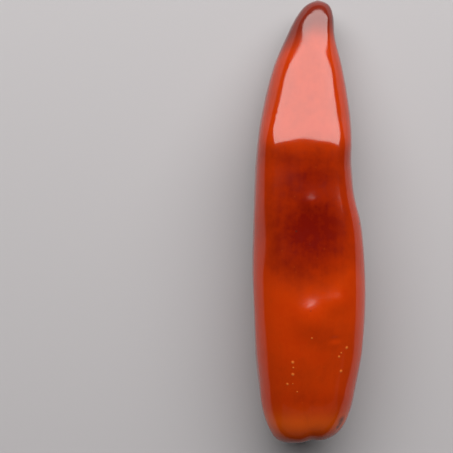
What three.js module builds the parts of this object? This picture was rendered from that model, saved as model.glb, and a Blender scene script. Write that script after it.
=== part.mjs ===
// A long sweet pepper lying on its side: the fruit, the calyx seated in the hollow of its stem end,
// and the short cut stem. Millimetres, +Z up, the tip towards +Y and the stem end towards -Y.
// The origin is on the surface that the fruit rests on, under the middle of its bounding box.
import * as THREE from "three";

// Driving dimensions.
const LENGTH = 208.7;
const WIDTH = 53.6;
const HALF_WIDTH = WIDTH / 2;
const REST_SINK = 0.3; // how much of the round underside is pressed flat where the fruit rests

// The stem end: a rounded shoulder that turns in to a hollow.
const SHOULDER_LENGTH = 21;
const RIM_SHARE = 0.56; // radius of the shoulder's crest, as a share of the fruit's radius there
const HOLLOW_DEPTH = 13.5;
const HOLLOW_POWER = 1.25;
const CREST_FADE_POWER = 4; // how quickly the crest's notches and lobes fade towards the hollow's axis

// The calyx and the stem.
const GAP = 0.3; // clearance between neighbouring pieces, square to their faces
const CALYX_RADIUS = 9.2;
const CALYX_FLAT_RADIUS = 7.3; // outside this radius the calyx thins to a rounded edge
const CALYX_THICKNESS = 1.5;
const SEPALS = 6;
const SEPAL_REACH = 0.13; // how far a sepal's point is drawn out past CALYX_RADIUS, as a share of it
const SEPAL_POWER = 4;
const BOSS_RADIUS = 6.2; // the calyx is level inside this radius, where the stem grows from it
const BOSS_HEIGHT = 1.7; // height of that level part above the hollow's floor beside it
const STEM_RADIUS = 4.1;
const STEM_FLARE = 0.9; // how much wider the stem's foot is than the stem
const STEM_FLARE_HEIGHT = 2.6;
const STEM_LENGTH = 4.6;
const STEM_BEVEL = 0.35; // the worn edge of the cut end
const STEM_RIBS = 5;
const STEM_RIB_DEPTH = 0.05; // share of the radius

// Surface colours.
const SKIN = { color: 0xc8400a, roughness: 0.28 };
const CALYX_GREEN = { color: 0x6f7d2c, roughness: 0.6 };
const STEM_GREEN = { color: 0x7d8a3a, roughness: 0.65 };

// Mesh steps.
const AROUND = 54;
const ALONG = 46;
const HOLLOW_STEPS = 7; // of the steps along the fruit
const SHOULDER_STEPS = 9;
const CALYX_AROUND = 48;
const CALYX_EDGE_STEPS = 4;
const STEM_AROUND = 30;
const STEM_FLARE_STEPS = 3;
const SLOPE_STEP = 0.01; // share of the rim's radius over which the hollow's slope is taken

// Cross-sections from the stem end (0) to the tip (1): half width and sideways shift of the middle, both as
// shares of HALF_WIDTH, height to width, how far the underside is lifted, and power, where 2 is a round
// section and more is boxier.
const SECTIONS = [
  { at: 0.0, half: 0.775, shift: -0.075, tall: 0.92, lift: 0.3, power: 2.3 },
  { at: 0.1, half: 0.845, shift: -0.045, tall: 0.92, lift: 0.0, power: 2.35 },
  { at: 0.2, half: 0.945, shift: -0.015, tall: 0.888, lift: 0.0, power: 2.45 },
  { at: 0.34, half: 1.0, shift: -0.012, tall: 0.843, lift: 0.0, power: 2.6 },
  { at: 0.48, half: 0.952, shift: -0.036, tall: 0.872, lift: 0.0, power: 2.8 },
  { at: 0.61, half: 0.85, shift: -0.102, tall: 0.937, lift: 0.0, power: 3.0 },
  { at: 0.672, half: 0.829, shift: -0.077, tall: 0.955, lift: 0.0, power: 3.1 },
  { at: 0.73, half: 0.786, shift: -0.056, tall: 0.925, lift: 0.1, power: 2.65 },
  { at: 0.84, half: 0.62, shift: -0.012, tall: 0.925, lift: 1.2, power: 2.35 },
  { at: 0.915, half: 0.436, shift: 0.044, tall: 0.94, lift: 3.2, power: 2.4 },
  { at: 0.965, half: 0.318, shift: 0.128, tall: 0.97, lift: 5.2, power: 2.3 },
  { at: 0.99, half: 0.204, shift: 0.172, tall: 1.0, lift: 7.4, power: 2.1 },
  { at: 1.0, half: 0.0, shift: 0.19, tall: 1.0, lift: 12.6, power: 2.0 },
];

// Furrows that run out of the hollow over the shoulder: direction in degrees from +X towards +Z, depth as a
// share of the deepest, and width in degrees.
const FURROWS = [
  { turn: 79, deep: 0.45, wide: 14 },
  { turn: 180, deep: 0.7, wide: 20 },
  { turn: 285, deep: 1.0, wide: 18 },
  { turn: 355, deep: 0.55, wide: 16 },
];
const FURROW_NOTCH = 1.6; // how far a furrow cuts into the shoulder's crest
const FURROW_GROOVE = 0.085; // how far it narrows the fruit, as a share of the radius
const FURROW_REACH = 0.13; // share of the length over which it fades out
const CREST_REACH = 6.5; // distance over which the crest's notches and lobes fade out
const LOBE_REACH = 1.25; // how much further the left lobe stands out than the middle
const LOBE_TURN = 150;

// Dents (negative) and humps in the wall: share of the length, direction in degrees, height, and the spread
// along and across the fruit.
const RELIEF = [
  { at: 0.472, turn: 86, high: -1.1, along: 11, across: 12 },
  { at: 0.581, turn: 83, high: -0.45, along: 6.5, across: 8 },
  { at: 0.529, turn: 88, high: 0.45, along: 3.2, across: 4.6 },
  { at: 0.28, turn: 91, high: 2.35, along: 9, across: 7.5 },
  { at: 0.313, turn: 68, high: 0.95, along: 5.2, across: 6 },
  { at: 0.185, turn: 64, high: -0.9, along: 9, across: 8 },
  { at: 0.44, turn: 140, high: -1.1, along: 13, across: 9 },
  { at: 0.7, turn: 150, high: 0.7, along: 12, across: 9 },
  { at: 0.3, turn: 200, high: -1.3, along: 12, across: 12 },
  { at: 0.56, turn: 225, high: -0.9, along: 12, across: 10 },
  { at: 0.38, turn: 325, high: -1.2, along: 12, across: 10 },
  { at: 0.78, turn: 320, high: -0.7, along: 11, across: 8 },
  { at: 0.547, turn: 10, high: -1.15, along: 9.5, across: 14 },
  { at: 0.62, turn: 50, high: 0.7, along: 10, across: 6 },
];
const NIB_HEIGHT = 0.45; // the dried end of the flower on the tip
const NIB_RADIUS = 1.6;

const radians = THREE.MathUtils.degToRad;

// Smooth curve through one column of SECTIONS, as cubic pieces with matched slopes. It runs on the square
// root of the distance to the tip, in which a rounded tip is a straight line.
function sectionValue(column, at) {
  const place = (i) => -Math.sqrt(1 - SECTIONS[i].at);
  const value = (i) => SECTIONS[i][column];
  const slope = (i) => {
    const before = Math.max(i - 1, 0);
    const after = Math.min(i + 1, SECTIONS.length - 1);
    return (value(after) - value(before)) / (place(after) - place(before));
  };
  const x = -Math.sqrt(Math.max(1 - at, 0));
  let i = 0;
  while (i < SECTIONS.length - 2 && x > place(i + 1)) {
    i += 1;
  }
  const span = place(i + 1) - place(i);
  const t = (x - place(i)) / span;
  const t2 = t * t;
  const t3 = t2 * t;
  return (
    value(i) * (2 * t3 - 3 * t2 + 1) +
    slope(i) * span * (t3 - 2 * t2 + t) +
    value(i + 1) * (3 * t2 - 2 * t3) +
    slope(i + 1) * span * (t3 - t2)
  );
}

// Signed angle from one direction to another, within half a turn either way.
function turnBetween(from, to) {
  return THREE.MathUtils.euclideanModulo(to - from + Math.PI, 2 * Math.PI) - Math.PI;
}

// 0 on a lobe and up to 1 in the middle of a furrow.
function furrow(turn) {
  return FURROWS.reduce((sum, f) => {
    const away = turnBetween(radians(f.turn), turn) / radians(f.wide);
    return sum + f.deep * Math.exp(-away * away);
  }, 0);
}

// How far the shoulder's crest is set back towards the tip in one direction.
function crestSetback(turn) {
  return FURROW_NOTCH * furrow(turn) - LOBE_REACH * Math.cos(turn - radians(LOBE_TURN));
}

// Height of the dents and humps at a distance from the stem end, in one direction, on a wall of this
// radius.
function relief(distance, turn, radius) {
  return RELIEF.reduce((sum, r) => {
    const along = (distance - r.at * LENGTH) / r.along;
    const across = (turnBetween(radians(r.turn), turn) * radius) / r.across;
    return sum + r.high * Math.exp(-along * along - across * across);
  }, 0);
}

// The turn-in of the shoulder: RIM_SHARE at the crest, growing along a quarter circle to 1.
function shoulder(distance) {
  const left = Math.max(1 - distance / SHOULDER_LENGTH, 0);
  return RIM_SHARE + (1 - RIM_SHARE) * Math.sqrt(1 - left * left);
}

// Radius in one direction of a unit section of the power that SECTIONS gives there.
function squareness(at, turn) {
  const power = sectionValue("power", at);
  const c = Math.abs(Math.cos(turn)) ** power;
  const s = Math.abs(Math.sin(turn)) ** power;
  return (c + s) ** (-1 / power);
}

// A point of the fruit's outer wall, at a distance from the stem end, in one direction round its axis.
function wallPoint(distance, turn) {
  const at = distance / LENGTH;
  const half = sectionValue("half", at) * HALF_WIDTH;
  const tall = sectionValue("tall", at);
  const groove = 1 - FURROW_GROOVE * furrow(turn) * Math.exp(-at / FURROW_REACH);
  const radius = half * shoulder(distance) * squareness(at, turn) * groove + relief(distance, turn, half);
  const middle = half * tall + sectionValue("lift", at) - REST_SINK;
  const crest = Math.exp(-((distance / CREST_REACH) ** 2));
  const nib = NIB_HEIGHT * Math.exp(-((half / NIB_RADIUS) ** 2));
  return new THREE.Vector3(
    sectionValue("shift", at) * HALF_WIDTH + radius * Math.cos(turn),
    distance + crestSetback(turn) * crest + nib,
    middle + radius * tall * Math.sin(turn),
  );
}

// The hollow's middle line runs along Y through this point.
const rimRadius = sectionValue("half", 0) * HALF_WIDTH * RIM_SHARE;
const rimTall = sectionValue("tall", 0);
const axisX = sectionValue("shift", 0) * HALF_WIDTH;
const axisZ = sectionValue("half", 0) * HALF_WIDTH * rimTall + sectionValue("lift", 0) - REST_SINK;

// A point inside the hollow. share runs from 0 on its axis to 1 on the shoulder's crest.
function hollowPoint(share, turn) {
  const groove = 1 - FURROW_GROOVE * furrow(turn) * share * share;
  const radius = rimRadius * share * squareness(0, turn) * groove + relief(0, turn, rimRadius) * share;
  const deep = HOLLOW_DEPTH * (1 - share * share) ** HOLLOW_POWER;
  return new THREE.Vector3(
    axisX + radius * Math.cos(turn),
    deep + crestSetback(turn) * share ** CREST_FADE_POWER,
    axisZ + radius * rimTall * Math.sin(turn),
  );
}

// The fruit is a sphere's grid carried onto the hollow, the shoulder and the wall in turn.
function makeFruit() {
  const geometry = new THREE.SphereGeometry(1, AROUND, ALONG);
  const position = geometry.attributes.position;
  const uv = geometry.attributes.uv;
  for (let i = 0; i < position.count; i += 1) {
    const turn = 2 * Math.PI * (Math.round(uv.getX(i) * AROUND) % AROUND) / AROUND;
    const step = Math.round((1 - uv.getY(i)) * ALONG);
    const onPole = step === 0 || step === ALONG;
    const point = fruitPoint(step, onPole ? 0 : turn);
    position.setXYZ(i, point.x, point.y, Math.max(point.z, 0));
  }
  return geometry;
}

// Steps are even inside the hollow, even in angle over the shoulder, and closer together towards the tip.
function fruitPoint(step, turn) {
  if (step <= HOLLOW_STEPS) {
    return hollowPoint(step / HOLLOW_STEPS, turn);
  }
  const over = step - HOLLOW_STEPS;
  if (over <= SHOULDER_STEPS) {
    const angle = (over / SHOULDER_STEPS) * (Math.PI / 2);
    return wallPoint(SHOULDER_LENGTH * (1 - Math.cos(angle)), turn);
  }
  const share = (over - SHOULDER_STEPS) / (ALONG - HOLLOW_STEPS - SHOULDER_STEPS);
  return wallPoint(LENGTH - (LENGTH - SHOULDER_LENGTH) * (1 - share) ** 2, turn);
}

// A point held GAP off the hollow's surface, square to it, at a radius from the hollow's axis.
function seatPoint(radius, turn) {
  const share = radius / rimRadius;
  const point = hollowPoint(share, turn);
  const outward = SLOPE_STEP * rimRadius;
  const deepening = hollowPoint(share - SLOPE_STEP, turn).y - point.y;
  const length = Math.hypot(outward, deepening);
  const inward = share > 0 ? (GAP * deepening) / length : 0;
  point.x -= inward * Math.cos(turn);
  point.y -= (GAP * outward) / length;
  point.z -= inward * Math.sin(turn);
  return point;
}

// A radius of the round calyx, drawn out or in to make its sepals in one direction.
function drawnRadius(radius, turn) {
  return radius * (1 + SEPAL_REACH * Math.cos(SEPALS * turn) * (radius / CALYX_RADIUS) ** SEPAL_POWER);
}

// The hollow's floor at its shallowest round the edge of the calyx's level part.
const bossEdge = Array.from({ length: CALYX_AROUND }, (_, i) => (2 * Math.PI * i) / CALYX_AROUND);
const bossFloor = Math.min(...bossEdge.map((turn) => seatPoint(drawnRadius(BOSS_RADIUS, turn), turn).y));

// A profile of [radius, height] points, closed onto the axis at both ends. Pieces in the hollow are turned
// to face -Y, which mirrors them, so the profile runs from the top down.
function axisProfile(points) {
  const top = points[points.length - 1][1];
  const closed = [[0, 0], ...points, [0, top]];
  return closed.map(([radius, height]) => new THREE.Vector2(radius, height)).reverse();
}

// The calyx's rounded edge is half an ellipse from its underside to its top.
function calyxEdge() {
  const reach = CALYX_RADIUS - CALYX_FLAT_RADIUS;
  return Array.from({ length: CALYX_EDGE_STEPS + 1 }, (_, i) => {
    const angle = (i / CALYX_EDGE_STEPS - 0.5) * Math.PI;
    return [CALYX_FLAT_RADIUS + reach * Math.cos(angle), (CALYX_THICKNESS / 2) * (1 + Math.sin(angle))];
  });
}

// The calyx is a turned saucer whose edge is drawn out into sepals, laid on the hollow's floor.
function makeCalyx() {
  const halfBoss = BOSS_RADIUS / 2;
  const underside = [[halfBoss, 0], [BOSS_RADIUS, 0]];
  const boss = [[BOSS_RADIUS, BOSS_HEIGHT], [halfBoss, BOSS_HEIGHT]];
  const profile = axisProfile([...underside, ...calyxEdge(), ...boss]);
  const geometry = new THREE.LatheGeometry(profile, CALYX_AROUND);
  const position = geometry.attributes.position;
  for (let i = 0; i < position.count; i += 1) {
    const out = Math.hypot(position.getX(i), position.getZ(i));
    const turn = Math.atan2(position.getZ(i), position.getX(i));
    const seat = seatPoint(drawnRadius(out, turn), turn);
    const height = position.getY(i);
    const floor = height > 0 ? Math.min(seat.y, bossFloor) : seat.y;
    position.setXYZ(i, seat.x, floor - height, seat.z);
  }
  return geometry;
}

// The stem's flared foot narrows along a parabola to the stem's radius.
function stemFoot() {
  return Array.from({ length: STEM_FLARE_STEPS + 1 }, (_, i) => {
    const share = i / STEM_FLARE_STEPS;
    return [STEM_RADIUS + STEM_FLARE * (1 - share) ** 2, share * STEM_FLARE_HEIGHT];
  });
}

// The stem is a short ribbed stalk that flares where it meets the calyx and ends in a level cut. Its section
// is as much wider than tall as the hollow's.
function makeStem() {
  const cut = [[STEM_RADIUS, STEM_LENGTH - STEM_BEVEL], [STEM_RADIUS - STEM_BEVEL, STEM_LENGTH]];
  const geometry = new THREE.LatheGeometry(axisProfile([...stemFoot(), ...cut]), STEM_AROUND);
  const position = geometry.attributes.position;
  const base = bossFloor - BOSS_HEIGHT - GAP;
  for (let i = 0; i < position.count; i += 1) {
    const x = position.getX(i);
    const z = position.getZ(i);
    const rib = 1 + STEM_RIB_DEPTH * Math.cos(STEM_RIBS * Math.atan2(z, x));
    position.setXYZ(i, axisX + x * rib, base - position.getY(i), axisZ + z * rib * rimTall);
  }
  return geometry;
}

function makeMesh(name, geometry, surface) {
  const material = new THREE.MeshStandardMaterial({ ...surface, metalness: 0 });
  const mesh = new THREE.Mesh(geometry, material);
  mesh.name = name;
  return mesh;
}

const pepper = new THREE.Group();
pepper.add(
  makeMesh("fruit", makeFruit(), SKIN),
  makeMesh("calyx", makeCalyx(), CALYX_GREEN),
  makeMesh("stem", makeStem(), STEM_GREEN),
);

// The middle of the bounding box goes over the origin.
const bounds = new THREE.Box3().setFromObject(pepper, true);
const middle = bounds.getCenter(new THREE.Vector3());
pepper.children.forEach((mesh) => mesh.position.set(-middle.x, -middle.y, -bounds.min.z));

export default pepper;
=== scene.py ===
import bpy
import numpy as np
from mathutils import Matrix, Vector


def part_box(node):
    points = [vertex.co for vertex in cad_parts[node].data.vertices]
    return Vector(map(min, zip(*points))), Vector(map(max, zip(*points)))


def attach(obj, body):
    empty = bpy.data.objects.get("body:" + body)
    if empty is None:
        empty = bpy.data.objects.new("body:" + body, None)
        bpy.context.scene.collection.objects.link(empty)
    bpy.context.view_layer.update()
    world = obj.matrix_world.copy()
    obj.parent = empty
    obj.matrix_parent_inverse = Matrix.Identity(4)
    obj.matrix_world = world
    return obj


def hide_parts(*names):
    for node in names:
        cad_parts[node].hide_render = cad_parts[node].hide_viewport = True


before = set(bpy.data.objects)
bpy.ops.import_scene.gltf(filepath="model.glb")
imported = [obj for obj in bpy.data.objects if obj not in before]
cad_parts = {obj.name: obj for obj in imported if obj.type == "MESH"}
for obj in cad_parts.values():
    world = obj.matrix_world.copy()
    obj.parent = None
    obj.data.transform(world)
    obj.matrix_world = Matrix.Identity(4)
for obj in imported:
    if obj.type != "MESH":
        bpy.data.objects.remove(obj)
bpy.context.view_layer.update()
mm = 0.001

# The camera looks straight down. The fruit lies right of the middle of its view, with the tip at the top.
cameraView = {"height": 0.6, "left": 0.0388, "towardsStem": 0.0037, "lens": 97.0, "sensor": 36.0}


def placeCamera(values):
    low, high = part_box("fruit")
    middle = (np.array(low) + np.array(high)) / 2
    data = bpy.data.cameras.new("overheadCamera")
    data.lens = values["lens"]
    data.sensor_width = values["sensor"]
    camera = bpy.data.objects.new("overheadCamera", data)
    camera.location = (middle[0] - values["left"], middle[1] - values["towardsStem"], values["height"])
    bpy.context.scene.collection.objects.link(camera)
    bpy.context.scene.camera = camera


placeCamera(cameraView)
print("camera placed")

# The fruit. A section is its place from the stem end (0) to the tip (1), half width, sideways shift, height
# to width, lift, and power (2 is round, more is boxier). Half width and shift are shares of halfWidth.
# Lengths are millimetres, and directions are degrees from +X to +Z.
pepper = {
    "length": 208.7,
    "halfWidth": 26.8,
    "restSink": 0.3,        # how much of the underside is pressed flat
    "restSoftness": 0.35,   # how gradually the flat spot begins
    "columns": ["place", "halfWidth", "shift", "tall", "lift", "power"],
    "sections": np.array([
        [0.0, 0.775, -0.075, 0.92, 0.3, 2.3],
        [0.1, 0.845, -0.045, 0.92, 0.0, 2.35],
        [0.2, 0.945, -0.015, 0.888, 0.0, 2.45],
        [0.34, 1.0, -0.012, 0.843, 0.0, 2.6],
        [0.48, 0.952, -0.036, 0.872, 0.0, 2.8],
        [0.61, 0.85, -0.102, 0.937, 0.0, 3.0],
        [0.672, 0.829, -0.077, 0.955, 0.0, 3.1],
        [0.73, 0.786, -0.056, 0.925, 0.1, 2.65],
        [0.84, 0.62, -0.012, 0.925, 1.2, 2.35],
        [0.915, 0.436, 0.044, 0.94, 3.2, 2.4],
        [0.965, 0.318, 0.128, 0.97, 5.2, 2.3],
        [0.99, 0.204, 0.172, 1.0, 7.4, 2.1],
        [1.0, 0.0, 0.19, 1.0, 12.6, 2.0],
    ]),
    "shoulderLength": 21.0,
    "rimShare": 0.56,
    "hollowDepth": 13.5,
    "hollowPower": 1.25,
    # furrows over the shoulder: direction, depth, width
    "furrows": [(79, 0.45, 14), (180, 0.7, 20), (285, 1.0, 18), (355, 0.55, 16)],
    "furrowNotch": 1.6,
    "furrowGroove": 0.085,
    "furrowReach": 0.13,
    "crestReach": 6.5,
    "crestFadePower": 4,
    "lobeReach": 1.25,
    "lobeTurn": 150.0,
    "nibHeight": 0.45,
    "nibRadius": 1.6,
    # dents and humps: place, direction, height, spread along, spread across
    "relief": [
        (0.472, 86, -1.1, 11, 12), (0.581, 83, -0.45, 6.5, 8), (0.529, 88, 0.45, 3.2, 4.6),
        (0.28, 91, 2.35, 9, 7.5), (0.313, 68, 0.95, 5.2, 6), (0.185, 64, -0.9, 9, 8),
        (0.44, 140, -1.1, 13, 9), (0.7, 150, 0.7, 12, 9), (0.3, 200, -1.3, 12, 12),
        (0.56, 225, -0.9, 12, 10), (0.38, 325, -1.2, 12, 10), (0.78, 320, -0.7, 11, 8),
        (0.547, 10, -1.15, 9.5, 14), (0.62, 50, 0.7, 10, 6),
    ],
    # the smaller ones, which fade out close to the stem end and the tip
    "fineRelief": [
        (0.233, 66, -0.42, 1.3, 2.4), (0.2245, 66, 0.14, 1.2, 2.1),      # a crescent dimple and its lip
        (0.101, 99, -0.25, 4.5, 1.6), (0.07, 91, 0.25, 6.0, 1.6), (0.62, 62, 0.3, 5.0, 4.0),
        (0.66, 95, -0.3, 5.0, 5.0), (0.735, 84, 0.3, 6.0, 4.5), (0.8, 104, -0.3, 4.5, 4.0),
        (0.86, 76, 0.25, 4.0, 3.0), (0.4, 112, 0.25, 6.0, 5.0), (0.529, 88, -0.05, 3.2, 4.6),
        (0.28, 90, 0.14, 8.0, 8.0), (0.312, 67, 0.12, 5.0, 6.0),         # more height on the two big humps
        (0.935, 52, 0.7, 10.0, 5.5), (0.935, 128, -0.6, 10.0, 5.0),      # the crest leans left at the tip
    ],
    "fineFrom": 8.0,            # distance from the stem end over which they come in
    "fineTip": 5.0,             # half width below which they fade
    # a patch of fine wrinkles across the skin: place, direction, spread along and across, height, spacing
    "wrinklePatches": [(0.345, 50, 7.0, 6.0, 0.04, 2.3)],
    "wrinkleBend": 0.8,
    "wrinkleBendLength": 3.1,
    "wrinkleJitter": 0.4,
    "wrinkleJitterLengths": (1.3, 2.7),     # across and along
    "undulations": 90,
    "undulationHeight": 0.12,
    "undulationPlaces": (0.02, 0.97),
    "undulationAlong": (4, 11),
    "undulationAcross": (3, 8),
    "undulationSeed": 11,
    "stepsAround": 300,
    "stepsHollow": 30,
    "stepsShoulder": 40,
    "stepsWall": 250,
    "wallSpacingPower": 1.4,    # rows lie closer together towards the tip
}


# Smooth curve through one column of the sections: cubic pieces with matched slopes, run on minus the square
# root of the distance to the tip.
def sectionCurve(column, at):
    table = dict(zip(pepper["columns"], pepper["sections"].T))
    place = -np.sqrt(1 - table["place"])
    value = table[column]
    before = np.maximum(np.arange(len(place)) - 1, 0)
    after = np.minimum(np.arange(len(place)) + 1, len(place) - 1)
    slope = (value[after] - value[before]) / (place[after] - place[before])
    x = -np.sqrt(np.maximum(1 - at, 0))
    i = np.clip(np.searchsorted(place, x) - 1, 0, len(place) - 2)
    span = place[i + 1] - place[i]
    t = (x - place[i]) / span
    return (value[i] * (2 * t**3 - 3 * t**2 + 1) + slope[i] * span * (t**3 - 2 * t**2 + t)
            + value[i + 1] * (3 * t**2 - 2 * t**3) + slope[i + 1] * span * (t**3 - t**2))


# Signed angle in radians from a direction in degrees to each direction of the grid, within half a turn.
def turnFrom(degrees, turn):
    return np.mod(turn - np.radians(degrees) + np.pi, 2 * np.pi) - np.pi


# Sum of one bell curve over the angle for each furrow: 0 on a lobe, up to 1 in a furrow.
def furrowDepth(turn):
    return sum(deep * np.exp(-(turnFrom(direction, turn) / np.radians(wide)) ** 2)
               for direction, deep, wide in pepper["furrows"])


# The crest moves towards the tip in a furrow, and away from it on the leading lobe.
def crestSetback(turn):
    return (pepper["furrowNotch"] * furrowDepth(turn)
            - pepper["lobeReach"] * np.cos(turn - np.radians(pepper["lobeTurn"])))


# Sum of a two-way bell curve for each dent or hump, in distance along and in arc length across.
def bells(rows, distance, turn, radius):
    total = np.zeros(np.broadcast(distance, turn).shape)
    for at, direction, high, along, across in rows:
        a = (distance - at * pepper["length"]) / along
        c = turnFrom(direction, turn) * radius / across
        total = total + high * np.exp(-a * a - c * c)
    return total


# Many low seeded bells make the skin gently uneven.
def undulation(distance, turn, radius):
    draw = np.random.default_rng(pepper["undulationSeed"])
    rows = [(draw.uniform(*pepper["undulationPlaces"]), draw.uniform(0, 360),
             draw.normal() * pepper["undulationHeight"],
             draw.uniform(*pepper["undulationAlong"]), draw.uniform(*pepper["undulationAcross"]))
            for _ in range(pepper["undulations"])]
    return bells(rows, distance, turn, radius)


# A cosine along the length inside a bell, with its phase bent by the direction so that it isn't straight.
def wrinkles(distance, turn, radius):
    total = np.zeros(np.broadcast(distance, turn).shape)
    jitterAcross, jitterAlong = pepper["wrinkleJitterLengths"]
    for at, direction, along, across, high, spacing in pepper["wrinklePatches"]:
        a = distance - at * pepper["length"]
        c = turnFrom(direction, turn) * radius
        bent = (a + pepper["wrinkleBend"] * np.sin(c / pepper["wrinkleBendLength"])
                + pepper["wrinkleJitter"] * np.sin(c / jitterAcross + a / jitterAlong))
        fade = np.exp(-(a / along) ** 2 - (c / across) ** 2)
        total = total + high * np.cos(2 * np.pi * bent / spacing) * fade
    return total


# Radius of a unit section of the power that the sections give there.
def squareness(at, turn):
    power = sectionCurve("power", at)
    return (np.abs(np.cos(turn)) ** power + np.abs(np.sin(turn)) ** power) ** (-1 / power)


# All the height that the skin has over the plain section. The fine part comes in as one minus a bell, and
# fades at the tip in proportion to the half width.
def skinRelief(distance, turn, radius):
    comesIn = 1 - np.exp(-(distance / pepper["fineFrom"]) ** 2)
    fades = np.clip(radius / pepper["fineTip"], 0, 1)
    fine = (bells(pepper["fineRelief"], distance, turn, radius) + wrinkles(distance, turn, radius)
            + undulation(distance, turn, radius))
    return bells(pepper["relief"], distance, turn, radius) + fine * comesIn * fades


# Outer wall: the section at that distance, narrowed by a quarter circle over the shoulder and by the furrows,
# with the relief added along the radius. A bell of the half width raises the nib.
def wallPoint(distance, turn):
    at = distance / pepper["length"]
    half = sectionCurve("halfWidth", at) * pepper["halfWidth"]
    tall = sectionCurve("tall", at)
    left = np.maximum(1 - distance / pepper["shoulderLength"], 0)
    shoulder = pepper["rimShare"] + (1 - pepper["rimShare"]) * np.sqrt(1 - left * left)
    groove = 1 - pepper["furrowGroove"] * furrowDepth(turn) * np.exp(-at / pepper["furrowReach"])
    radius = half * shoulder * squareness(at, turn) * groove + skinRelief(distance, turn, half)
    middle = half * tall + sectionCurve("lift", at) - pepper["restSink"]
    crest = np.exp(-(distance / pepper["crestReach"]) ** 2)
    nib = pepper["nibHeight"] * np.exp(-(half / pepper["nibRadius"]) ** 2)
    return np.stack(np.broadcast_arrays(
        sectionCurve("shift", at) * pepper["halfWidth"] + radius * np.cos(turn),
        distance + crestSetback(turn) * crest + nib,
        middle + radius * tall * np.sin(turn)), axis=-1)


# Inside the hollow: share runs from 0 on its axis to 1 on the crest, and the depth falls off as a power of
# one minus share squared.
def hollowPoint(share, turn):
    start = np.array(0.0)
    half = sectionCurve("halfWidth", start) * pepper["halfWidth"]
    tall = sectionCurve("tall", start)
    rim = half * pepper["rimShare"]
    groove = 1 - pepper["furrowGroove"] * furrowDepth(turn) * share**2
    radius = (rim * share * squareness(0, turn) * groove
              + bells(pepper["relief"], np.array(0.0), turn, rim) * share)
    deep = pepper["hollowDepth"] * np.maximum(1 - share**2, 0) ** pepper["hollowPower"]
    middle = half * tall + sectionCurve("lift", start) - pepper["restSink"]
    return np.stack(np.broadcast_arrays(
        sectionCurve("shift", start) * pepper["halfWidth"] + radius * np.cos(turn),
        deep + crestSetback(turn) * share ** pepper["crestFadePower"],
        middle + radius * tall * np.sin(turn)), axis=-1)


# The grid's rows: the hollow from its axis out, the shoulder at even angles, the wall closer towards the tip.
# The underside is pressed flat at z = 0: half the sum of z and the root of z squared plus softness squared.
def fruitGrid():
    turn = np.linspace(0, 2 * np.pi, pepper["stepsAround"], endpoint=False)[None, :]
    share = np.linspace(0, 1, pepper["stepsHollow"], endpoint=False)[:, None]
    angle = np.linspace(0, np.pi / 2, pepper["stepsShoulder"], endpoint=False)[:, None]
    onShoulder = pepper["shoulderLength"] * (1 - np.cos(angle))
    left = np.linspace(1, 0, pepper["stepsWall"])[:, None]
    wallLength = pepper["length"] - pepper["shoulderLength"]
    onWall = pepper["length"] - wallLength * left ** pepper["wallSpacingPower"]
    distance = np.concatenate([onShoulder, onWall])
    points = np.concatenate([hollowPoint(share, turn), wallPoint(distance, turn)])
    z = points[..., 2]
    soft = pepper["restSoftness"]
    points[..., 2] = (z + np.sqrt(z * z + soft * soft)) / 2
    along = np.concatenate([-(1 - share[:, 0]), distance[:, 0] / pepper["length"]])
    return points, along, turn[0]


# Gives a function that stretches the worked-out shape onto the CAD node's box, in metres. The same one places
# whatever sits in the hollow.
def fitToNode(shape, node):
    low, high = (np.array(corner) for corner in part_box(node))
    start = shape.reshape(-1, 3).min(0)
    scale = (high - low) / (shape.reshape(-1, 3).max(0) - start)

    def place(points):
        return low + (points - start) * scale

    return place


# Joins a grid into a closed mesh: the columns wrap, and the first and last rows shrink to poles. A grid whose
# faces would point inwards is flipped.
def closedGrid(name, points, attributes, flip=False):
    rows, columns = points.shape[:2]
    inner = points[1:-1].reshape(-1, 3)
    first, last = points[0].mean(0), points[-1].mean(0)
    vertices = np.concatenate([inner, [first], [last]])
    ids = np.arange((rows - 2) * columns).reshape(rows - 2, columns)
    beside = np.roll(ids, -1, axis=1)
    quads = np.stack([ids[:-1], beside[:-1], beside[1:], ids[1:]], axis=-1).reshape(-1, 4)
    firstId, lastId = len(inner), len(inner) + 1
    firstFan = np.stack([np.full(columns, firstId), beside[0], ids[0]], axis=-1)
    lastFan = np.stack([np.full(columns, lastId), ids[-1], beside[-1]], axis=-1)
    if flip:
        quads, firstFan, lastFan = quads[:, ::-1], firstFan[:, ::-1], lastFan[:, ::-1]
    mesh = bpy.data.meshes.new(name)
    mesh.from_pydata(vertices.tolist(), [], quads.tolist() + firstFan.tolist() + lastFan.tolist())
    mesh.update()
    mesh.polygons.foreach_set("use_smooth", np.ones(len(mesh.polygons), dtype=bool))
    for key, values in attributes.items():
        values = np.broadcast_to(values, (rows, columns))
        data = np.concatenate([values[1:-1].ravel(), [values[0].mean()], [values[-1].mean()]])
        mesh.attributes.new(key, "FLOAT", "POINT").data.foreach_set("value", data.astype(np.float32))
    piece = bpy.data.objects.new(name, mesh)
    bpy.context.scene.collection.objects.link(piece)
    return piece


def standsFor(piece, node, material):
    piece.data.materials.append(material)
    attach(piece, "root")
    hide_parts(node)
    print(piece.name, len(piece.data.polygons), "faces, stands for", node)


def newMaterial(name):
    material = bpy.data.materials.new(name)
    material.use_nodes = True
    tree = material.node_tree
    return material, tree, tree.nodes["Principled BSDF"]


# A node with its settings, and with each input linked from a socket or set to a value.
def addNode(tree, kind, inputs=None, **settings):
    node = tree.nodes.new(kind)
    for key, value in settings.items():
        setattr(node, key, value)
    for key, value in (inputs or {}).items():
        if isinstance(value, bpy.types.NodeSocket):
            tree.links.new(value, node.inputs[key])
        else:
            node.inputs[key].default_value = value
    return node


def mixColour(tree, factor, a, b):
    # a Mix node's factor and its two colours are its sockets 0, 6 and 7
    return addNode(tree, "ShaderNodeMix", {0: factor, 6: a, 7: b}, data_type="RGBA").outputs[2]


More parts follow.
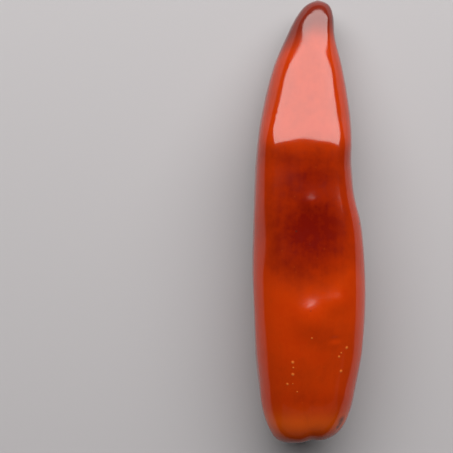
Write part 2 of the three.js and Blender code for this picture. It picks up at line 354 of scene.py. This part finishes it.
# Lays colours over a first one, each with its own share.
def paintOver(tree, colour, layers):
    for share, layer in layers:
        colour = mixColour(tree, share, colour, layer)
    return colour


def arithmetic(tree, operation, a, b=0.0, c=0.0, clamp=False):
    node = addNode(tree, "ShaderNodeMath", {0: a, 1: b, 2: c}, operation=operation, use_clamp=clamp)
    return node.outputs[0]


def times(tree, a, b):
    return arithmetic(tree, "MULTIPLY", a, b)


def ramp(tree, value, low, high, toLow=0.0, toHigh=1.0):
    node = addNode(tree, "ShaderNodeMapRange",
                   {"Value": value, "From Min": low, "From Max": high, "To Min": toLow, "To Max": toHigh},
                   interpolation_type="SMOOTHSTEP")
    return node.outputs["Result"]


def noise(tree, point, scale, detail, roughness):
    node = addNode(tree, "ShaderNodeTexNoise",
                   {"Vector": point, "Scale": scale, "Detail": detail, "Roughness": roughness})
    return node.outputs["Fac"]


def attribute(tree, name):
    return addNode(tree, "ShaderNodeAttribute", attribute_name=name).outputs["Fac"]


def objectPoint(tree):
    return addNode(tree, "ShaderNodeTexCoord").outputs["Object"]


def bumpNormal(tree, height, look):
    node = addNode(tree, "ShaderNodeBump",
                   {"Height": height, "Distance": look["bumpDistance"], "Strength": look["bumpStrength"]})
    return node.outputs["Normal"]


# An effect as a node group: its inputs and its one output, a mask, are made here, and fill puts the nodes in.
def effectGroup(name, inputs, fill):
    group = bpy.data.node_groups.new(name, "ShaderNodeTree")
    for key, kind in inputs.items():
        group.interface.new_socket(name=key, in_out="INPUT", socket_type=kind)
    group.interface.new_socket(name="Mask", in_out="OUTPUT", socket_type="NodeSocketFloat")
    fill(group, group.nodes.new("NodeGroupInput"), group.nodes.new("NodeGroupOutput"))
    return group


# Puts an effect into a material and gives back its mask.
def effectMask(tree, group, **inputs):
    return addNode(tree, "ShaderNodeGroup", inputs, node_tree=group).outputs["Mask"]


blotchNoise = {
    "detail": 4.0,
    "roughness": 0.55,
    "fineScale": 5.3,       # how much smaller the fine blotches are
    "fineDetail": 3.0,
    "fineRoughness": 0.6,
    "fineShare": 0.35,
    "contrast": (0.3, 0.7),
}


# Soft blotches at two sizes, from 0 to 1.
def fillBlotches(group, start, end):
    point, scale = start.outputs["Point"], start.outputs["Scale"]
    large = noise(group, point, scale, blotchNoise["detail"], blotchNoise["roughness"])
    small = noise(group, point, times(group, scale, blotchNoise["fineScale"]),
                  blotchNoise["fineDetail"], blotchNoise["fineRoughness"])
    share = times(group, small, blotchNoise["fineShare"])
    total = arithmetic(group, "MULTIPLY_ADD", large, 1 - blotchNoise["fineShare"], share)
    group.links.new(ramp(group, total, *blotchNoise["contrast"]), end.inputs["Mask"])


blotches = effectGroup("blotches", {"Point": "NodeSocketVector", "Scale": "NodeSocketFloat"}, fillBlotches)

streakNoise = {"detail": 4.0, "roughness": 0.6, "contrast": (0.35, 0.68)}


# Noise drawn out along one axis by the Stretch scale, from 0 to 1, for fibres and growth streaks.
def fillStreaks(group, start, end):
    mapped = addNode(group, "ShaderNodeMapping",
                     {"Vector": start.outputs["Point"], "Scale": start.outputs["Stretch"]})
    fibres = noise(group, mapped.outputs["Vector"], 1.0, streakNoise["detail"], streakNoise["roughness"])
    group.links.new(ramp(group, fibres, *streakNoise["contrast"]), end.inputs["Mask"])


streaks = effectGroup("streaks", {"Point": "NodeSocketVector", "Stretch": "NodeSocketVector"}, fillStreaks)


# Scattered round dots: near the middle of a cell, and only in the cells whose random value passes Rarity.
def fillDots(group, start, end):
    cells = addNode(group, "ShaderNodeTexVoronoi",
                    {"Vector": start.outputs["Point"], "Scale": start.outputs["Scale"]})
    near = ramp(group, cells.outputs["Distance"], 0.0, start.outputs["Size"], 1.0, 0.0)
    parts = addNode(group, "ShaderNodeSeparateColor", {"Color": cells.outputs["Color"]})
    chosen = arithmetic(group, "GREATER_THAN", parts.outputs["Red"], start.outputs["Rarity"])
    group.links.new(times(group, near, chosen), end.inputs["Mask"])


dots = effectGroup("dots", {"Point": "NodeSocketVector", "Scale": "NodeSocketFloat",
                            "Size": "NodeSocketFloat", "Rarity": "NodeSocketFloat"}, fillDots)


# A round spot, from 1 at its centre to 0 at its radius.
def fillSpot(group, start, end):
    away = addNode(group, "ShaderNodeVectorMath", {0: start.outputs["Point"], 1: start.outputs["Centre"]},
                   operation="DISTANCE")
    near = ramp(group, away.outputs["Value"], 0.0, start.outputs["Radius"], 1.0, 0.0)
    group.links.new(near, end.inputs["Mask"])


spot = effectGroup("spot", {"Point": "NodeSocketVector", "Centre": "NodeSocketVector",
                            "Radius": "NodeSocketFloat"}, fillSpot)
print("shared effects built")

skinLook = {
    "orange": (0.305, 0.0200, 0.0002, 1.0),
    "brightOrange": (0.355, 0.0290, 0.0004, 1.0),
    # deep crimson: partly the skin's own colour, partly painted shade in the dents and the middle of the
    # crest
    "deepRedAndShade": (0.110, 0.0025, 0.0002, 1.0),
    # maroon towards the tip: partly the skin's own colour, partly painted shade on the left flank
    "maroonAndShade": (0.100, 0.0100, 0.0050, 1.0),
    # gold round the stem end: partly the skin's own colour, partly painted light where that end turns from
    # the lamps
    "goldenAndPaintedLight": (0.520, 0.0660, 0.0010, 1.0),
    "flank": (0.440, 0.0330, 0.0003, 1.0),
    "olive": (0.230, 0.0520, 0.0040, 1.0),
    "paleFleck": (0.420, 0.0900, 0.0100, 1.0),
    # pale pimple colour: partly their own, partly a painted glint on each
    "pimpleAndGlint": (0.620, 0.1800, 0.0300, 1.0),
    "scar": (0.060, 0.0140, 0.0080, 1.0),
    "blossomBrown": (0.070, 0.0250, 0.0150, 1.0),
    "roughnessLow": 0.08,
    "roughnessHigh": 0.15,
    "dryRoughness": 0.45,       # added at the dried nib
    # the patterns
    "patchScale": 45.0,
    "growthStretch": (260.0, 16.0, 260.0),
    "fleckScale": 300.0,
    "fleckSize": 0.14,
    "fleckRarity": 0.6,
    "speckScale": 75.0,
    "speckSize": 0.045,
    "speckRarity": 0.82,
    # how far the patches and the growth streaks shift the redness, and what is taken off again
    "patchRedness": 0.50,
    "growthRedness": 0.08,
    "rednessOff": 0.29,
    "oliveRange": (0.2, 0.8, 0.5, 1.0),     # patches from and to, olive share from and to
    # how strongly each mark is painted
    "fleckShare": 0.18,
    "pimpleShare": 0.8,
    "speckShare": 0.55,
    "scarShare": 0.85,
    # the bump
    "peelScale": 700.0,
    "peelDetail": 2.0,
    "peelRoughness": 0.5,
    "peelShare": 0.10,
    "growthShare": 0.10,
    "bumpDistance": 0.0002,
    "bumpStrength": 0.6,
    # place, direction, radius in millimetres
    "pimples": [(0.184, 109, 1.0), (0.172, 108.5, 0.6), (0.157, 109, 1.0), (0.135, 115, 0.8),
                (0.136, 109, 0.4), (0.2147, 52.4, 1.0), (0.2374, 90, 0.6), (0.2037, 58, 0.6),
                (0.1955, 60, 0.8), (0.163, 56, 1.0), (0.118, 104, 0.5)],
    "scars": [(0.470, 104.5, 0.7), (0.486, 30.7, 0.9), (0.049, 41, 3.4), (0.041, 41, 2.4),
              (0.033, 43, 2.0), (0.33, 250, 1.0), (0.62, 290, 0.9)],
}


# The strongest of several spots, each centred on the outer wall.
def spotMask(tree, point, spots, place):
    total = None
    for at, direction, size in spots:
        centre = place(wallPoint(np.array(at * pepper["length"]), np.array(np.radians(direction))))
        mask = effectMask(tree, spot, Point=point, Centre=tuple(centre), Radius=size * mm)
        total = mask if total is None else arithmetic(tree, "MAXIMUM", total, mask)
    return total


# Base colour: orange patches turned towards deep crimson by the worked-out redness, which holds painted shade
# and painted highlight as well as the skin's own colour, and which the patches and the growth streaks shift,
# then each region's colour, parts of it painted light, then the small marks.
def makeSkinMaterial(look, place):
    material, tree, shader = newMaterial("pepperSkin")
    point = objectPoint(tree)
    patches = effectMask(tree, blotches, Point=point, Scale=look["patchScale"])
    growth = effectMask(tree, streaks, Point=point, Stretch=look["growthStretch"])
    flecks = effectMask(tree, dots, Point=point, Scale=look["fleckScale"], Size=look["fleckSize"],
                        Rarity=look["fleckRarity"])
    specks = effectMask(tree, dots, Point=point, Scale=look["speckScale"], Size=look["speckSize"],
                        Rarity=look["speckRarity"])
    pimples = spotMask(tree, point, look["pimples"], place)
    scars = spotMask(tree, point, look["scars"], place)
    # the redness carries painted shade and painted highlight as well as the skin's own redness
    shifted = arithmetic(tree, "MULTIPLY_ADD", patches, look["patchRedness"], attribute(tree, "rednessAndPaintedLight"))
    streaked = arithmetic(tree, "MULTIPLY_ADD", growth, look["growthRedness"], shifted)
    redAndShade = arithmetic(tree, "SUBTRACT", streaked, look["rednessOff"], clamp=True)
    olive = times(tree, attribute(tree, "olive"), ramp(tree, patches, *look["oliveRange"]))
    colour = paintOver(tree, mixColour(tree, patches, look["orange"], look["brightOrange"]), [
        (redAndShade, look["deepRedAndShade"]),
        (attribute(tree, "flank"), look["flank"]),
        (attribute(tree, "goldenAndPaintedLight"), look["goldenAndPaintedLight"]),
        (attribute(tree, "maroonAndShade"), look["maroonAndShade"]),
        (olive, look["olive"]),
        (times(tree, flecks, look["fleckShare"]), look["paleFleck"]),
        (times(tree, pimples, look["pimpleShare"]), look["pimpleAndGlint"]),
        (times(tree, specks, look["speckShare"]), look["scar"]),
        (times(tree, scars, look["scarShare"]), look["scar"]),
        (attribute(tree, "blossom"), look["blossomBrown"]),
    ])
    tree.links.new(colour, shader.inputs["Base Color"])
    gloss = ramp(tree, patches, 0.0, 1.0, look["roughnessLow"], look["roughnessHigh"])
    dry = times(tree, attribute(tree, "blossom"), look["dryRoughness"])
    tree.links.new(arithmetic(tree, "ADD", gloss, dry, clamp=True), shader.inputs["Roughness"])
    peel = noise(tree, point, look["peelScale"], look["peelDetail"], look["peelRoughness"])
    grain = arithmetic(tree, "ADD", times(tree, peel, look["peelShare"]),
                       times(tree, growth, look["growthShare"]))
    raised = arithmetic(tree, "ADD", grain, pimples)
    tree.links.new(bumpNormal(tree, raised, look), shader.inputs["Normal"])
    return material


# Where each colour lies. Redness, from 0 to 1: its level, a redder stretch of the body with the places
# between which it comes in and goes out, partly the skin's own colour and partly painted shade where the
# middle of the crest lies in less light, a band round the shoulder (place, spread, height), and patches
# (place, direction, spread along, spread across, height). Maroon comes in towards the tip, partly the skin's
# own colour, and sooner on the left flank as painted shade on the side away from the light.
skinRegions = {
    "level": 0.06,
    "stretch": 0.50,
    "stretchFrom": (0.33, 0.405),
    "stretchTo": (0.625, 0.685),
    "band": (0.1, 0.018, 0.24),
    # dent patches at 0.472 and 0.58: own colour and painted shade; the lighter ones at 0.363 and 0.29:
    # painted highlight on humps
    "patches": [(0.472, 86, 15, 14, 0.62), (0.580, 86, 8, 11, 0.28), (0.24, 84, 6, 10, 0.10),
                (0.363, 52, 9, 7, -0.42), (0.29, 88, 5, 7, -0.08), (0.53, 200, 22, 16, 0.3),
                (0.6, 320, 20, 14, 0.25), (0.25, 250, 20, 16, 0.2)],
    "maroonFrom": 0.885,
    "maroonTo": 0.955,
    "maroonShare": 0.9,
    # how much sooner maroon comes in on the left flank: painted shade on the side away from the light
    "leftShadeSooner": 0.04,
    # the gold round the stem end is partly painted light
    "goldenAndPaintedLight": (0.042, 0.024, 0.9),          # round the stem end: place, spread, share
    "flank": (18, 30, 0.6, 0.60, 0.70),     # both sides: direction, spread, share, and where it fades out
    "olive": (0.5, 0.03, 0.25),             # round the hollow: share, spread, least part on the right
    "blossomSpread": 1.5,                   # half width at which the brown of the nib has faded
}


def smoothStep(low, high, value):
    t = np.clip((value - low) / (high - low), 0, 1)
    return t * t * (3 - 2 * t)


# Shares of each colour at every point. Redness, with its painted shade and painted highlight, is a level, a
# smooth step up and down again, a band and a bell for each patch. Maroon, with its painted shade, is a smooth
# step. The flank colour is a bell over the direction on either side, faded out by a smooth step. Gold, which
# is partly painted light, olive and the nib's brown are bells, and olive also deepens into the hollow.
def skinMarks(along, turn, values):
    at = np.maximum(along, 0)[:, None]
    distance = at * pepper["length"]
    radius = sectionCurve("halfWidth", at) * pepper["halfWidth"]
    turn = turn[None, :]
    onWall = (along >= 0)[:, None]
    inHollow = np.clip(-along, 0, 1)[:, None]
    leftFlank = np.clip(-np.cos(turn), 0, 1)
    asBells = [(a, d, high, alongSpread, acrossSpread)
               for a, d, alongSpread, acrossSpread, high in values["patches"]]
    bandAt, bandSpread, bandHigh = values["band"]
    stretch = smoothStep(*values["stretchFrom"], at) * (1 - smoothStep(*values["stretchTo"], at))
    rednessAndPaintedLight = (values["level"] + values["stretch"] * stretch
               + bandHigh * np.exp(-((at - bandAt) / bandSpread) ** 2)
               + bells(asBells, distance, turn, radius))
    # maroon reaches further back on the left flank as painted shade
    sooner = values["leftShadeSooner"] * leftFlank
    maroonAndShade = smoothStep(values["maroonFrom"] - sooner, values["maroonTo"] - sooner, at)
    flankTurn, flankSpread, flankHigh, fadeFrom, fadeTo = values["flank"]
    fromSide = np.degrees(np.abs(turnFrom(90, turn))) - 90 + flankTurn
    flank = flankHigh * np.exp(-(fromSide / flankSpread) ** 2) * (1 - smoothStep(fadeFrom, fadeTo, at))
    # gold at the stem end: own colour and painted light
    goldAt, goldSpread, goldHigh = values["goldenAndPaintedLight"]
    goldenAndPaintedLight = goldHigh * np.exp(-((at - goldAt) / goldSpread) ** 2)
    oliveHigh, oliveSpread, oliveLeast = values["olive"]
    olive = (oliveHigh * np.exp(-(at / oliveSpread) ** 2) * (oliveLeast + (1 - oliveLeast) * leftFlank)
             + oliveHigh * inHollow)
    return {
        "rednessAndPaintedLight": np.clip(rednessAndPaintedLight, 0, 1),
        "maroonAndShade": maroonAndShade * values["maroonShare"],
        "flank": flank * onWall,
        "goldenAndPaintedLight": goldenAndPaintedLight * onWall,
        "olive": np.clip(olive, 0, 1),
        "blossom": np.exp(-(radius / values["blossomSpread"]) ** 2) * onWall,
    }


grid, gridAlong, gridTurn = fruitGrid()
placeOnFruit = fitToNode(grid, "fruit")
gridMarks = skinMarks(gridAlong, gridTurn, skinRegions)
fruitSkin = closedGrid("fruitSkin", placeOnFruit(grid), gridMarks, flip=True)
standsFor(fruitSkin, "fruit", makeSkinMaterial(skinLook, placeOnFruit))

calyxShape = {
    "sepals": 6,
    "radius": 9.2,
    "between": 0.93,            # the outline between two sepals, as a share of the radius
    "reach": 0.195,             # how far a sepal stands out from that
    "sepalLengths": (0.75, 1.15),
    "pointPower": 1.6,
    "bossRadius": 5.6,          # the flat middle that the stem stands on
    "thickness": 1.4,
    "edgeThickness": 0.35,
    "edgePower": 24,            # how suddenly the rim rounds off
    "veinHeight": 0.28,
    "veinWidth": 0.085,
    "veinPower": 0.5,
    "rippleHeight": 0.10,
    "rippleWaves": 17,
    "rippleTwist": 3,
    "ripplePower": 12,
    "curl": 0.7,
    "curlPower": 4,
    "curlBetween": 0.4,         # share of the curl between two sepals
    "seatGap": 0.05,
    "seatLimit": 0.985,         # it stays this far inside the hollow's crest
    "dryFrom": 0.72,
    "dryPower": 1.5,
    "stepsProfile": 90,
    "stepsAround": 360,
    "seed": 5,
}


# The saucer follows the hollow's wall. Its outline is a circle drawn out by a power of a cosine at each
# sepal, its thickness thins to the edge, and a bell along each sepal's middle is its vein. The tips curl off
# the wall by a power of the distance out, and a sine ripples the outer face.
def calyxGrid(values):
    draw = np.random.default_rng(values["seed"])
    turn = np.linspace(0, 2 * np.pi, values["stepsAround"], endpoint=False)[None, :]
    lengths = draw.uniform(*values["sepalLengths"], values["sepals"])
    sepal = np.floor(np.mod(turn / (2 * np.pi) * values["sepals"] + 0.5, values["sepals"])).astype(int)
    away = np.mod(turn / (2 * np.pi) * values["sepals"] + 0.5, 1) - 0.5
    pointed = (0.5 + 0.5 * np.cos(2 * np.pi * away)) ** values["pointPower"]
    outline = values["radius"] * (values["between"] + values["reach"] * pointed * lengths[sepal])
    side = np.linspace(0, 2, values["stepsProfile"])[:, None]
    under = side <= 1
    share = np.where(under, side, 2 - side)
    out = share * outline
    rim = sectionCurve("halfWidth", np.array(0.0)) * pepper["halfWidth"] * pepper["rimShare"]
    seat = hollowPoint(np.clip(out / rim, 0, values["seatLimit"]), turn)
    level = hollowPoint(np.array(values["bossRadius"] / rim), turn).min(axis=(0, 1))[1]
    towardsEdge = np.clip((out - values["bossRadius"]) / (outline - values["bossRadius"]), 0, 1)
    thick = values["edgeThickness"] + (values["thickness"] - values["edgeThickness"]) * (1 - towardsEdge**2)
    thick = thick * np.sqrt(np.maximum(1 - share ** values["edgePower"], 0))
    alongVein = np.exp(-(away / values["veinWidth"]) ** 2)
    vein = values["veinHeight"] * alongVein * np.sin(np.pi * towardsEdge) ** values["veinPower"]
    ripple = (values["rippleHeight"] * np.sin(values["rippleWaves"] * turn + values["rippleTwist"] * share)
              * towardsEdge * (1 - share ** values["ripplePower"]))
    curlHere = values["curlBetween"] + (1 - values["curlBetween"]) * pointed
    curl = values["curl"] * towardsEdge ** values["curlPower"] * curlHere
    top = np.where(out < values["bossRadius"], np.minimum(seat[..., 1], level), seat[..., 1])
    height = np.where(under, seat[..., 1], top) - values["seatGap"] - curl
    seat[..., 1] = height - np.where(under, 0, thick + vein + ripple)
    dryness = np.clip((towardsEdge - values["dryFrom"]) / (1 - values["dryFrom"]), 0, 1) ** values["dryPower"]
    return seat, {"dryness": dryness, "vein": alongVein * towardsEdge}


calyxLook = {
    "green": (0.165, 0.235, 0.040, 1.0),
    "darkGreen": (0.085, 0.135, 0.023, 1.0),
    "vein": (0.24, 0.28, 0.085, 1.0),
    "dryEdge": (0.105, 0.058, 0.022, 1.0),
    "veinShare": 0.7,
    "patchScale": 170.0,
    "poreScale": 1500.0,
    "poreSize": 0.35,
    "poreRarity": 0.3,
    "roughnessLow": 0.48,
    "roughnessHigh": 0.72,
    "bumpDistance": 0.00018,
    "bumpStrength": 0.7,
}


# Dark green blotched with green, paler veins and dried edges, over a bump of the blotches less the pores.
def makeCalyxMaterial(look):
    material, tree, shader = newMaterial("calyxLeaf")
    point = objectPoint(tree)
    patches = effectMask(tree, blotches, Point=point, Scale=look["patchScale"])
    pores = effectMask(tree, dots, Point=point, Scale=look["poreScale"], Size=look["poreSize"],
                       Rarity=look["poreRarity"])
    colour = paintOver(tree, mixColour(tree, patches, look["darkGreen"], look["green"]), [
        (times(tree, attribute(tree, "vein"), look["veinShare"]), look["vein"]),
        (attribute(tree, "dryness"), look["dryEdge"]),
    ])
    tree.links.new(colour, shader.inputs["Base Color"])
    tree.links.new(ramp(tree, patches, 0.0, 1.0, look["roughnessLow"], look["roughnessHigh"]),
                   shader.inputs["Roughness"])
    height = arithmetic(tree, "SUBTRACT", patches, pores)
    tree.links.new(bumpNormal(tree, height, look), shader.inputs["Normal"])
    return material


calyxPoints, calyxMarks = calyxGrid(calyxShape)
calyxPiece = closedGrid("calyxLeaf", placeOnFruit(calyxPoints), calyxMarks)
standsFor(calyxPiece, "calyx", makeCalyxMaterial(calyxLook))

stemShape = {
    "flareShare": 0.24,         # of the foot's radius
    "flarePower": 2.2,
    "flareEnd": 0.6,            # share of the length
    "sink": 0.35,               # how far the foot runs into the calyx
    "ribs": 5,
    "ribDepth": 0.055,
    "strands": 26,
    "strandDepth": 0.014,
    "strandSway": 0.9,
    "strandSwayWaves": 3,
    "bevelFrom": 0.93,
    "bevelDepth": 0.07,
    "cutShare": 0.93,           # of the stalk's radius
    "cutHollow": 0.45,
    "cutRing": 0.22,
    "ringPlace": 0.72,
    "ringWidth": 0.1,
    "ringMarkWidth": 0.12,
    "cutRoughness": 0.06,
    "cutWaves": 19,
    "cutTwist": 9,
    "cutEdgePower": 20,         # how late the dip levels out at the edge
    "cutRoughPower": 6,
    "cutMarkFrom": 0.96,        # where the cut's colour begins on the side
    "pithReach": 0.55,
    "stepsFoot": 14,
    "stepsSide": 60,
    "stepsCut": 44,
    "stepsAround": 240,
}


# A stalk along Y: the radius falls from the foot along a power curve, and ribs and fine strands are cosines
# of the direction. The cut end dips towards its middle by a parabola, with a bell for its raised ring of
# fibre, and a sine roughens it.
def stemGrid(values):
    low, high = (np.array(corner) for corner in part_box("stem"))
    middle = (low + high) / 2
    reach = (high - low) / 2
    sink = values["sink"] * mm
    turn = np.linspace(0, 2 * np.pi, values["stepsAround"], endpoint=False)[None, :]
    foot = np.linspace(0, 1, values["stepsFoot"], endpoint=False)[:, None]
    side = np.linspace(0, 1, values["stepsSide"], endpoint=False)[:, None]
    cut = np.linspace(1, 0, values["stepsCut"])[:, None]
    stalk = 1 - values["flareShare"]
    flare = np.maximum(1 - side / values["flareEnd"], 0) ** values["flarePower"]
    onBevel = np.clip((side - values["bevelFrom"]) / (1 - values["bevelFrom"]), 0, 1)
    bevelled = (stalk + values["flareShare"] * flare) * (1 - values["bevelDepth"] * onBevel**2)
    share = np.concatenate([foot, bevelled, cut * stalk * values["cutShare"]])
    sway = values["strandSway"] * np.sin(values["strandSwayWaves"] * turn)
    ribbed = 1 + (values["ribDepth"] * np.cos(values["ribs"] * turn)
                  + values["strandDepth"] * np.cos(values["strands"] * turn + sway))
    ribbed = ribbed / (1 + values["ribDepth"] + values["strandDepth"])
    y = np.concatenate([high[1] + sink + 0 * foot, high[1] + sink - side * (high[1] - low[1] + sink),
                        low[1] + 0 * cut]) + 0 * turn
    ring = np.exp(-((cut - values["ringPlace"]) / values["ringWidth"]) ** 2)
    dip = (values["cutHollow"] * (1 - cut**2) - values["cutRing"] * ring) * mm
    rough = values["cutRoughness"] * mm * np.sin(values["cutWaves"] * turn + values["cutTwist"] * cut)
    dip = dip * (1 - cut ** values["cutEdgePower"])
    rough = rough * cut * (1 - cut ** values["cutRoughPower"])
    y[-values["stepsCut"]:] += dip + rough
    points = np.stack(np.broadcast_arrays(
        middle[0] + reach[0] * share * ribbed * np.cos(turn), y,
        middle[2] + reach[2] * share * ribbed * np.sin(turn)), axis=-1)
    onSide = np.clip((side - values["cutMarkFrom"]) / (1 - values["cutMarkFrom"]), 0, 1)
    pith = np.clip(1 - cut / values["pithReach"], 0, 1)
    ringMark = np.exp(-((cut - values["ringPlace"]) / values["ringMarkWidth"]) ** 2)
    return points, {
        "cutFace": np.concatenate([0 * foot, onSide, np.ones_like(cut)]),
        "pith": np.concatenate([0 * foot, 0 * side, pith]),
        "ring": np.concatenate([0 * foot, 0 * side, ringMark]),
        # the grooves between the ribs, which the stem material darkens as painted shade
        "groove": 0.5 - 0.5 * np.cos(values["ribs"] * turn),
    }


stemLook = {
    "green": (0.200, 0.260, 0.055, 1.0),
    "darkGreen": (0.090, 0.135, 0.027, 1.0),
    "cut": (0.36, 0.30, 0.165, 1.0),
    "pith": (0.50, 0.46, 0.30, 1.0),
    "ring": (0.165, 0.110, 0.050, 1.0),
    "grooveShadeShare": 0.6,
    "ringRange": (0.1, 0.9, 0.5, 1.0),      # patches from and to, ring share from and to
    "fibreStretch": (1400.0, 120.0, 1400.0),
    "patchScale": 230.0,
    "roughnessLow": 0.50,
    "roughnessHigh": 0.78,
    "bumpDistance": 0.0002,
    "bumpStrength": 0.7,
}


# Green with darker fibres and painted shade in the grooves. The cut face is pale, with paler pith and a brown
# ring.
def makeStemMaterial(look):
    material, tree, shader = newMaterial("stemStalk")
    point = objectPoint(tree)
    fibre = effectMask(tree, streaks, Point=point, Stretch=look["fibreStretch"])
    patches = effectMask(tree, blotches, Point=point, Scale=look["patchScale"])
    ringShare = times(tree, attribute(tree, "ring"), ramp(tree, patches, *look["ringRange"]))
    face = paintOver(tree, mixColour(tree, attribute(tree, "pith"), look["cut"], look["pith"]),
                     [(ringShare, look["ring"])])
    colour = paintOver(tree, mixColour(tree, fibre, look["green"], look["darkGreen"]), [
        (times(tree, attribute(tree, "groove"), look["grooveShadeShare"]), look["darkGreen"]),
        (attribute(tree, "cutFace"), face),
    ])
    tree.links.new(colour, shader.inputs["Base Color"])
    tree.links.new(ramp(tree, patches, 0.0, 1.0, look["roughnessLow"], look["roughnessHigh"]),
                   shader.inputs["Roughness"])
    height = arithmetic(tree, "ADD", fibre, patches)
    tree.links.new(bumpNormal(tree, height, look), shader.inputs["Normal"])
    return material


stemPoints, stemMarks = stemGrid(stemShape)
stemPiece = closedGrid("stemStalk", stemPoints, stemMarks)
standsFor(stemPiece, "stem", makeStemMaterial(stemLook))

studio = {
    "floorColour": (0.31, 0.305, 0.314, 1.0),
    "floorSize": 8.0,
    "floorRoughness": 0.85,
    "worldColour": (0.93, 0.95, 1.0, 1.0),
    "worldStrength": 0.03,
    # softboxes: name, place, the point each faces, size, watts, colour
    "softboxes": [
        ("windowBox", (0.175, 0.84, 0.9), (0.175, 0.0, 0.0), (2.95, 1.13), 62.8, (1.0, 0.97, 0.95)),
        ("fillBox", (0.2, -1.9, 1.3), (0.0, 0.0, 0.0), (5.0, 1.6), 1.8, (0.95, 0.97, 1.0)),
    ],
}


def buildStudio(values):
    half = values["floorSize"] / 2
    mesh = bpy.data.meshes.new("paleFloor")
    corners = [(-half, -half, 0), (half, -half, 0), (half, half, 0), (-half, half, 0)]
    mesh.from_pydata(corners, [], [(0, 1, 2, 3)])
    floor = bpy.data.objects.new("paleFloor", mesh)
    bpy.context.scene.collection.objects.link(floor)
    material, _, shader = newMaterial("paleFloor")
    shader.inputs["Base Color"].default_value = values["floorColour"]
    shader.inputs["Roughness"].default_value = values["floorRoughness"]
    mesh.materials.append(material)
    world = bpy.data.worlds.new("softSky")
    world.use_nodes = True
    background = world.node_tree.nodes["Background"]
    background.inputs["Color"].default_value = values["worldColour"]
    background.inputs["Strength"].default_value = values["worldStrength"]
    bpy.context.scene.world = world
    for name, place, target, size, watts, colour in values["softboxes"]:
        data = bpy.data.lights.new(name, "AREA")
        data.shape = "RECTANGLE"
        data.size, data.size_y = size
        data.energy = watts
        data.color = colour
        light = bpy.data.objects.new(name, data)
        light.location = place
        light.rotation_mode = "QUATERNION"
        light.rotation_quaternion = (Vector(target) - Vector(place)).to_track_quat("-Z", "Y")
        bpy.context.scene.collection.objects.link(light)


buildStudio(studio)
bpy.context.scene.view_settings.view_transform = "Standard"
print("studio built")
